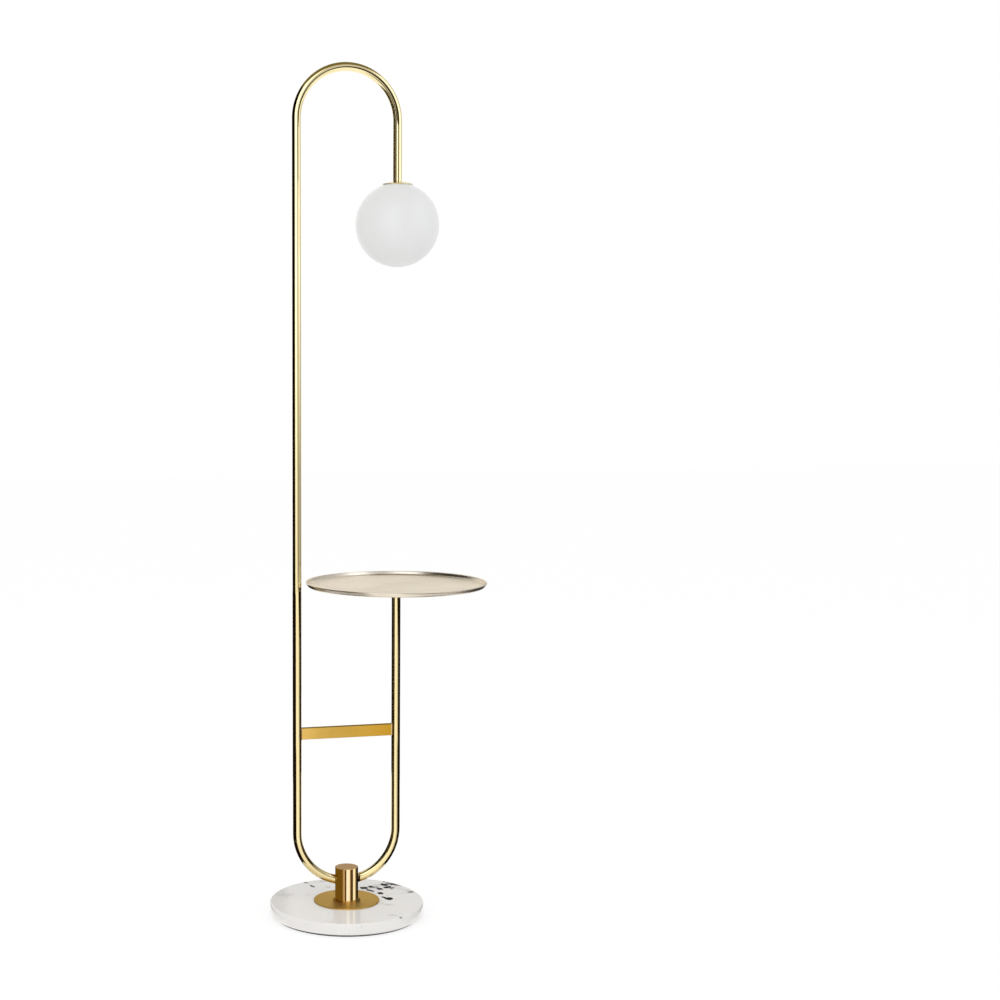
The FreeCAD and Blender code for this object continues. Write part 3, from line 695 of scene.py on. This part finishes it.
GREY_PATCHES = [((52, 62), (108, 84), 34, 0.42), ((105, 60), (130, 20), 20, 0.26),
                ((-112, 59), (-94, 55), 26, 0.22), ((-48, 118), (-20, 122), 16, 0.22)]
FLECK_WIDTH, FLECK_TONE = 1.35, 1.4  # the noise eats into a fleck, so each is drawn larger


def build_streak():
    """1 within a ragged width of the line between two points, and 0 away from it."""
    tree, given, result = new_group(
        "stone streak", {"Vector": VECTOR, "Start": (0.0, 0.0, 0.0), "End": (0.1, 0.0, 0.0),
                         "Width": 0.004, "Ragged": 1.6, "Grain": 330.0, "Soft": 0.25},
        {"Mask": FLOAT})
    along = vector(tree, "SUBTRACT", given["End"], given["Start"])
    here = vector(tree, "SUBTRACT", given["Vector"], given["Start"])
    share = calc(tree, "DIVIDE", vector(tree, "DOT_PRODUCT", here, along),
                 vector(tree, "DOT_PRODUCT", along, along))
    share = add(tree, "ShaderNodeClamp", {0: share}).outputs[0]
    spot = add(tree, "ShaderNodeVectorMath", {0: along, "Scale": share}, operation="SCALE")
    gap = vector(tree, "DISTANCE", here, spot.outputs[0])
    uneven = noise(tree, given["Vector"], given["Grain"], 5.0, Roughness=0.7)
    push = calc(tree, "MULTIPLY", calc(tree, "SUBTRACT", uneven, 0.5), given["Ragged"])
    half_width = calc(tree, "MULTIPLY", given["Width"], 0.5)
    reach = calc(tree, "ADD", calc(tree, "DIVIDE", gap, half_width), push)
    inner = calc(tree, "SUBTRACT", 1.0, given["Soft"])
    feed(tree, result, {"Mask": ramp(tree, reach, inner, 1.0, 1.0, 0.0)})
    return tree


def wandering(tree, place):
    """The place, pushed about by a few millimetres so that a straight streak wanders."""
    wander = noise(tree, place, 45.0, output="Color")
    middle = vector(tree, "SUBTRACT", wander, (0.5, 0.5, 0.5))
    return vector(tree, "ADD", place, vector(tree, "MULTIPLY", middle, (0.008, 0.008, 0.0)))


def streaks(tree, place, rows, tone, colour, depth, **look):
    """Streaks that are drawn out in depth: a place is squeezed that way before it is measured.
    Gives the new tone, and how much of it the streaks cover."""
    cover = 0.0
    squeezed = vector(tree, "MULTIPLY", place, (1.0, depth, 1.0))
    for start, end, width, dark in rows:
        start, end = [(x * MM, y * depth * MM, SLAB_TOP * MM) for x, y in (start, end)]
        mask = use_group(tree, STREAK, {"Vector": squeezed, "Start": start, "End": end,
                                        "Width": width * MM, **look})["Mask"]
        share = calc(tree, "MULTIPLY", mask, dark)
        tone = blend_colour(tree, share, tone, (*colour, 1))
        cover = calc(tree, "MAXIMUM", share, cover)
    return tone, cover


STREAK = build_streak()
print("shared effect:", STREAK.name)

# %% Marble


def build_marble():
    material, tree, shader, place = start_material("polished_white_marble")
    warp = noise(tree, place, 11.0, 4.0, output="Color")
    bent = vector(tree, "ADD", place, vector(tree, "MULTIPLY", warp, (0.045, 0.045, 0.045)))
    cloud = noise(tree, bent, 7.0, 5.0, Roughness=0.55)
    tone = blend_colour(tree, ramp(tree, cloud, 0.35, 0.70), (0.895, 0.872, 0.845, 1),
                        (0.850, 0.832, 0.810, 1))
    vein = noise(tree, bent, 9.0, 6.0, Roughness=0.55)
    hair = ramp(tree, calc(tree, "ABSOLUTE", calc(tree, "SUBTRACT", vein, 0.5)),
                0.0, 0.012, 1.0, 0.0)
    veined = calc(tree, "MULTIPLY", hair, ramp(tree, noise(tree, place, 13.0), 0.46, 0.66))
    tone = blend_colour(tree, calc(tree, "MULTIPLY", veined, 0.45), tone, (0.36, 0.35, 0.345, 1))
    spot = wandering(tree, place)
    tone, _ = streaks(tree, spot, GREY_PATCHES, tone, (0.45, 0.445, 0.43), 1.0,
                      Soft=0.9, Grain=90.0, Ragged=1.2)
    flecks = [(start, end, width * FLECK_WIDTH, min(1, dark * FLECK_TONE))
              for start, end, width, dark in MINERAL_FLECKS]
    tone, flecked = streaks(tree, spot, flecks, tone, (0.006, 0.005, 0.004), 0.5,
                            Soft=0.12, Grain=420.0, Ragged=2.6)
    marks = handled(tree, place, 0.10, 0.07, 16.0)
    rough = calc(tree, "MULTIPLY_ADD", flecked, 0.85, marks["Roughness"])
    feed(tree, shader, {"Base Color": tone, "Roughness": rough, "IOR": 1.44,
                        "Normal": bump(tree, cloud, 4e-6)})
    return material


marble = build_marble()
print("marble with", len(MINERAL_FLECKS), "flecks and", len(GREY_PATCHES), "grey patches")

# %% [markdown]
# ## Glass, plastic, rubber and ceramic
# Opal glass is white all through: light goes in, scatters and comes out again, so the ball looks
# flat and even, with a soft gloss. The shader does this with a little scattering under the
# surface, and with a faint glow that is painted light: the lamp is off, and the glow evens out
# the ball's shading. The plastics and the ceramic differ mainly in gloss and in the grain of
# their mould.

# %% Other finishes


def solid_finish(name, colour, rough, spread=0.08, grain_scale=600.0, grain_depth=1e-5,
                 second=None):
    """A non-metal with a moulded grain, a slight change of tone and handling marks."""
    material, tree, shader, place = start_material(name)
    marks = handled(tree, place, rough, spread)
    grain = noise(tree, place, grain_scale, 3.0)
    tone = blend_colour(tree, grain, (*colour, 1), (*second, 1) if second else times(colour, 0.85))
    feed(tree, shader, {"Base Color": tone, "Roughness": marks["Roughness"],
                        "Normal": bump(tree, grain, grain_depth)})
    return material


def build_opal():
    material, tree, shader, place = start_material("opal_glass", LEG_X)
    marks = handled(tree, place, 0.34, 0.04, 20.0)
    milk = noise(tree, place, 16.0)
    tone = blend_colour(tree, milk, (0.478, 0.478, 0.476, 1), (0.462, 0.462, 0.462, 1))
    # The emission below is painted light: a faint glow on the unlit globe that evens out its
    # shading.
    feed(tree, shader, {
        "Base Color": tone, "Roughness": marks["Roughness"], "Normal": bump(tree, milk, 3e-5),
        "Specular IOR Level": 0.25, "Subsurface Weight": 0.35,
        "Subsurface Radius": (1.0, 1.0, 1.0), "Subsurface Scale": 0.02,
        "Emission Color": (1, 1, 1, 1), "Emission Strength": 0.28})
    return material


def build_clear_glass():
    material, tree, shader, place = start_material("clear_glass", LEG_X)
    marks = handled(tree, place, 0.02, 0.03)
    wave = noise(tree, place, 60.0, 1.0)
    feed(tree, shader, {
        "Base Color": (0.97, 0.98, 0.98, 1), "Roughness": marks["Roughness"], "IOR": 1.47,
        "Transmission Weight": 1.0, "Normal": bump(tree, wave, 2e-5)})
    return material


opal = build_opal()
clear_glass = build_clear_glass()
pad_foam = solid_finish("closed_cell_foam", (0.035, 0.035, 0.036), 0.85, 0.1, 1400.0, 6e-5,
                        (0.055, 0.055, 0.055))
nylon = solid_finish("natural_nylon", (0.70, 0.68, 0.62), 0.42, 0.08, 500.0)
silicone = solid_finish("clear_grey_silicone", (0.62, 0.62, 0.60), 0.55, 0.08, 700.0)
ceramic = solid_finish("lamp_ceramic", (0.80, 0.79, 0.75), 0.34, 0.08, 1500.0, 8e-6,
                       (0.74, 0.73, 0.69))
bulb_plastic = solid_finish("bulb_plastic", (0.82, 0.82, 0.81), 0.30, 0.06, 400.0)
black_plastic = solid_finish("black_nylon", (0.022, 0.022, 0.024), 0.38, 0.12, 900.0, 1e-5,
                             (0.034, 0.034, 0.036))
block_plastic = solid_finish("terminal_block_plastic", (0.74, 0.72, 0.66), 0.40, 0.08, 500.0)
wire_sleeve = solid_finish("wire_sleeve", (0.62, 0.60, 0.55), 0.45, 0.08, 700.0)
print("other finishes, from", opal.name, "to", wire_sleeve.name)

# %% [markdown]
# ## Putting a finished piece in its place
# A piece that is made here rides on the same moving part as the solid that it stands for, and the
# solid is hidden. A helper does these steps the same way every time.

# %% Helpers for pieces


def dress(name, material):
    """Give a solid that keeps its own shape a finish."""
    slots = nodes[name].data.materials
    if not len(slots):
        slots.append(material)
    for index in range(len(slots)):
        slots[index] = material


def settle(piece, body, slot, *stands_for):
    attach(piece, body)
    if stands_for:
        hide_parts(*stands_for)
    low = [min(v.co[k] for v in piece.data.vertices) for k in range(3)]
    high = [max(v.co[k] for v in piece.data.vertices) for k in range(3)]
    print(f"{piece.name}: {len(piece.data.polygons)} faces,",
          [round(x / MM, 1) for x in low], "to", [round(x / MM, 1) for x in high], "mm")


def mark_sharp(mesh, degrees=32):
    """Smooth shading, with a hard line wherever two faces meet at more than an angle."""
    work = bmesh.new()
    work.from_mesh(mesh)
    bmesh.ops.remove_doubles(work, verts=work.verts, dist=1e-7)
    bmesh.ops.recalc_face_normals(work, faces=work.faces)
    limit = math.radians(degrees)
    for face in work.faces:
        face.smooth = True
    for edge in work.edges:
        edge.smooth = len(edge.link_faces) == 2 and edge.calc_face_angle(0.0) < limit
    work.to_mesh(mesh)
    work.free()
    mesh.update()


# %% [markdown]
# ## The tube, made with Geometry Nodes
# The whole frame is one size of tube that follows lines and half circles, so one tree makes all
# four pieces. It takes a row of points as a path, turns it into a curve, sweeps a circle along
# it and draws each free end in by a fraction of a millimetre, which leaves the fine groove that
# shows where two lengths of tube meet. The rule lives in the tree and the sizes are its inputs.

# %% Tree that sweeps a tube
GEOMETRY, MATERIAL = "NodeSocketGeometry", "NodeSocketMaterial"


def close_tree(tree, shape, material, result):
    """Plain geometry with a material, as the tree's result."""
    plain = add(tree, "GeometryNodeRealizeInstances", {"Geometry": shape})
    painted = add(tree, "GeometryNodeSetMaterial",
                  {"Geometry": plain.outputs[0], "Material": material})
    feed(tree, result, {0: painted.outputs[0]})
    return tree


def build_tube_tree():
    tree, given, result = new_group(
        "tube along a path", {"Path": GEOMETRY, "Diameter": 0.016, "Sides": 64, "Bevel": 0.0003,
                              "Bevel Start": 0.0, "Bevel End": 0.0, "Material": MATERIAL},
        {"Tube": GEOMETRY}, "GeometryNodeTree")
    line = add(tree, "GeometryNodeMeshToCurve", {"Mesh": given["Path"]})
    along = add(tree, "GeometryNodeSplineParameter").outputs["Length"]
    whole = add(tree, "GeometryNodeSplineLength").outputs["Length"]
    radius = calc(tree, "DIVIDE", given["Diameter"], 2.0)
    depth = calc(tree, "DIVIDE", given["Bevel"], radius)
    scale = 1.0
    for end, wanted in ((along, "Bevel Start"),
                        (calc(tree, "SUBTRACT", whole, along), "Bevel End")):
        near_end = ramp(tree, end, 0.0, given["Bevel"], 1.0, 0.0, smooth=False)
        cut = calc(tree, "MULTIPLY", calc(tree, "MULTIPLY", near_end, given[wanted]), depth)
        scale = calc(tree, "MULTIPLY", scale, calc(tree, "SUBTRACT", 1.0, cut))
    circle = add(tree, "GeometryNodeCurvePrimitiveCircle",
                 {"Resolution": given["Sides"], "Radius": radius})
    swept = add(tree, "GeometryNodeCurveToMesh",
                {"Curve": line.outputs[0], "Profile Curve": circle.outputs["Curve"],
                 "Scale": scale, "Fill Caps": True})
    return close_tree(tree, swept.outputs[0], given["Material"], result)


def run_tree(tree, source, name, settings):
    """Evaluate a Geometry Nodes tree on a mesh and keep the result as a plain mesh object."""
    carrier = put(name + "_work", source)
    modifier = carrier.modifiers.new("rule", "NODES")
    modifier.node_group = tree
    sockets = {s.name: s.identifier for s in tree.interface.items_tree if s.in_out == "INPUT"}
    for label, value in settings.items():
        modifier[sockets[label]] = value
    depsgraph = bpy.context.evaluated_depsgraph_get()
    mesh = bpy.data.meshes.new_from_object(carrier.evaluated_get(depsgraph),
                                           preserve_all_data_layers=True, depsgraph=depsgraph)
    mesh.name = name
    bpy.data.objects.remove(carrier)
    return put(name, mesh)


TUBE_TREE = build_tube_tree()
print("tube tree has", len(TUBE_TREE.nodes), "nodes")

# %% [markdown]
# Each path is only points: straight runs between bends, and one point every two degrees round a
# bend. A point just inside each bevelled end gives the tree somewhere to start the bevel.

# %% The four lengths of tube
TUBE_RADIUS, BEVEL = 8 * MM, 0.3 * MM
LOWER_JOINT, UPPER_JOINT = 600 * MM, 1020 * MM
LOWER_BEND, UPPER_BEND = 156.1 * MM, 1437.5 * MM  # the levels of the bends' centres
LEG_TOP, DROP_END = 587.5 * MM, 1330.9 * MM


def arc_points(level, start, end):
    count = max(2, round(abs(end - start) / 2))
    angles = [math.radians(start + (end - start) * k / count) for k in range(count + 1)]
    return [(LEG_X * math.cos(a), 0.0, level + LEG_X * math.sin(a)) for a in angles]


def pole_points(*levels):
    return [(-LEG_X, 0, level) for level in levels]


def tube(name, path, stands_for, bevel_start=0.0, bevel_end=0.0):
    mesh = bpy.data.meshes.new(name + "_path")
    mesh.from_pydata(path, [(k, k + 1) for k in range(len(path) - 1)], [])
    piece = run_tree(TUBE_TREE, mesh, name, {
        "Diameter": 2 * TUBE_RADIUS, "Bevel": BEVEL, "Bevel Start": bevel_start,
        "Bevel End": bevel_end, "Material": brass_tube})
    mark_sharp(piece.data)
    settle(piece, "frame", "brass_tube", stands_for)


inside_post = math.degrees(math.asin(TUBE_RADIUS / LEG_X))  # the two ends meet out of sight
left_path = (arc_points(LOWER_BEND, 270 - inside_post, 180)
             + pole_points(LOWER_JOINT - BEVEL, LOWER_JOINT))
right_path = arc_points(LOWER_BEND, 270 + inside_post, 360) + [(LEG_X, 0, LEG_TOP)]
pole_path = pole_points(LOWER_JOINT, LOWER_JOINT + BEVEL, UPPER_JOINT - BEVEL, UPPER_JOINT)
arch_path = (pole_points(UPPER_JOINT, UPPER_JOINT + BEVEL) + arc_points(UPPER_BEND, 180, 0)
             + [(LEG_X, 0, DROP_END)])
tube("loop_left", left_path, "loop_tube_left", bevel_end=1.0)
tube("loop_right", right_path, "loop_tube_right")
tube("pole", pole_path, "pole_tube", bevel_start=1.0, bevel_end=1.0)
tube("arch", arch_path, "arch_tube", bevel_start=1.0)

# %% [markdown]
# ## The screw under the tray
# The tray screws down into the short leg on a 10 mm stud, which shows when the tray is unwound.
# A thread is one ridge that climbs a pitch with every turn, so it follows a rule: how far a point
# is pushed in depends only on its angle and its level. The tree starts from a finely divided
# cylinder and moves each point by that rule. Near both ends the ridge fades, as a cut thread does.

# %% Tree that cuts a thread


def build_thread_tree():
    tree, given, result = new_group(
        "cut thread", {"Geometry": GEOMETRY, "Diameter": 0.0098, "Pitch": 0.0015,
                       "Depth": 0.0008, "Length": 0.021, "Foot": (0.0, 0.0, 0.0), "Steps": 112,
                       "Around": 48, "Material": MATERIAL},
        {"Rod": GEOMETRY}, "GeometryNodeTree")
    radius = calc(tree, "DIVIDE", given["Diameter"], 2.0)
    half = calc(tree, "DIVIDE", given["Length"], 2.0)
    rod = add(tree, "GeometryNodeMeshCylinder",
              {"Vertices": given["Around"], "Side Segments": given["Steps"], "Radius": radius,
               "Depth": given["Length"]})
    here = add(tree, "GeometryNodeInputPosition").outputs[0]
    parts = coordinates(tree, here)
    wave = thread_wave(tree, parts, given["Pitch"])
    to_end = calc(tree, "SUBTRACT", half, calc(tree, "ABSOLUTE", parts[2]))
    fade = ramp(tree, to_end, 0.0, given["Pitch"], smooth=False)
    push = calc(tree, "MULTIPLY", calc(tree, "MULTIPLY", wave, fade), given["Depth"])
    scale = calc(tree, "SUBTRACT", 1.0, calc(tree, "DIVIDE", push, radius))
    wide = add(tree, "ShaderNodeCombineXYZ", {0: scale, 1: scale, 2: 1.0}).outputs[0]
    lift = add(tree, "ShaderNodeCombineXYZ", {2: half}).outputs[0]
    placed = vector(tree, "ADD", vector(tree, "MULTIPLY", here, wide), lift)
    moved = add(tree, "GeometryNodeSetPosition",
                {"Geometry": rod.outputs["Mesh"],
                 "Position": vector(tree, "ADD", placed, given["Foot"])})
    return close_tree(tree, moved.outputs[0], given["Material"], result)


STUD = {"Diameter": 9.8 * MM, "Pitch": 1.5 * MM, "Depth": 0.8 * MM, "Length": 21 * MM,
        "Foot": (LEG_X, 0.0, 577.5 * MM), "Steps": 112, "Around": 48, "Material": machined_brass}
stud = run_tree(build_thread_tree(), bpy.data.meshes.new("stud_seed"), "stud_thread", STUD)
mark_sharp(stud.data, 50)
settle(stud, "tray", "machined_brass", "tray_stud")

# %% [markdown]
# The flat bar is brazed to both legs. Molten braze is drawn into the corner and sets as a thin,
# hollow-faced bead all the way round the end of the bar. The bead is built as a ring of short
# cross-sections. Each has a point that is hidden in the corner and five along a hollow quarter
# circle, from the bar's face to the tube.

# %% Braze beads round the ends of the bar
BEAD = 1.0  # mm, how far a bead reaches along the bar and along the tube
QUARTER = (0, 22.5, 45, 67.5, 90)  # a quarter turn, in degrees
CORNERS = ((1, 1), (-1, 1), (-1, -1), (1, -1))


def bead_section():
    """The hidden point, then the hollow face: how far along the bar and out from it, in mm."""
    turns = [math.radians(t) for t in QUARTER]
    return [(-0.3, -0.3)] + [(BEAD * (1 - math.sin(t)), BEAD * (1 - math.cos(t))) for t in turns]


def braze_beads():
    section = bead_section()
    size = len(section)
    rings = len(CORNERS) * len(QUARTER)
    points, faces = [], []
    for side in (-1, 1):
        first = len(points)
        for corner, (sign_y, sign_z) in enumerate(CORNERS):
            for turn in QUARTER:
                out = math.radians(90 * corner + turn)
                for along, away in section:
                    y = sign_y * BAR_HALF[0] + away * math.cos(out)
                    z = BAR_MIDDLE + sign_z * BAR_HALF[1] + away * math.sin(out)
                    to_tube = math.sqrt((TUBE_RADIUS / MM) ** 2 - y * y)
                    points.append((side * (LEG_X / MM - to_tube - along) * MM, y * MM, z * MM))
        for row in range(rings):
            here, after = first + size * row, first + size * ((row + 1) % rings)
            for k in range(size):
                nxt = (k + 1) % size
                faces.append((here + k, here + nxt, after + nxt, after + k))
    mesh = bpy.data.meshes.new("braze_beads")
    mesh.from_pydata(points, [], faces)
    mesh.materials.append(braze)
    mark_sharp(mesh, 50)
    return put("braze_beads", mesh)


settle(braze_beads(), "frame", "brass_bar")

# %% [markdown]
# ## The solids that keep their shape
# The other pieces are turned, pressed, ground or moulded, and their solids already have the true
# edges and curves. So each of them stays as it came in and only gets its finish.

# %% Finishes on the solids
FINISHES = (
    (marble, "marble_base"), (pad_foam, "base_pad"), (ballast_steel, "ballast_plate"),
    (zinc_steel, "ballast_screws", "tie_rod", "tie_washer", "tie_nut", "post_grub_screws",
     "terminal_screws", "holder_screws"),
    (brass_disc, "base_disc"), (brass_post, "post"), (brass_bar, "crossbar"),
    (hidden_brass, "pole_joiners", "drop_plug", "nipple", "nipple_nut"),
    (machined_brass, "leg_plug", "tray_hub"), (threaded_brass, "shade_carrier"),
    (brass_tray, "tray_dish"), (nylon, "tray_washer"), (brass_cap, "globe_cap"),
    (silicone, "globe_gasket"), (opal, "globe"),
    (spring_brass, "holder_contacts", "holder_bracket"), (ceramic, "lampholder"),
    (bulb_plastic, "bulb_base"), (pin_nickel, "bulb_pins"), (clear_glass, "bulb_glass"),
    (black_plastic, "cable_gland"), (block_plastic, "terminal_block"), (wire_sleeve, "lamp_wire"))
for material, *names in FINISHES:
    for name in names:
        dress(name, material)
print("finishes on the solids:", len(FINISHES))
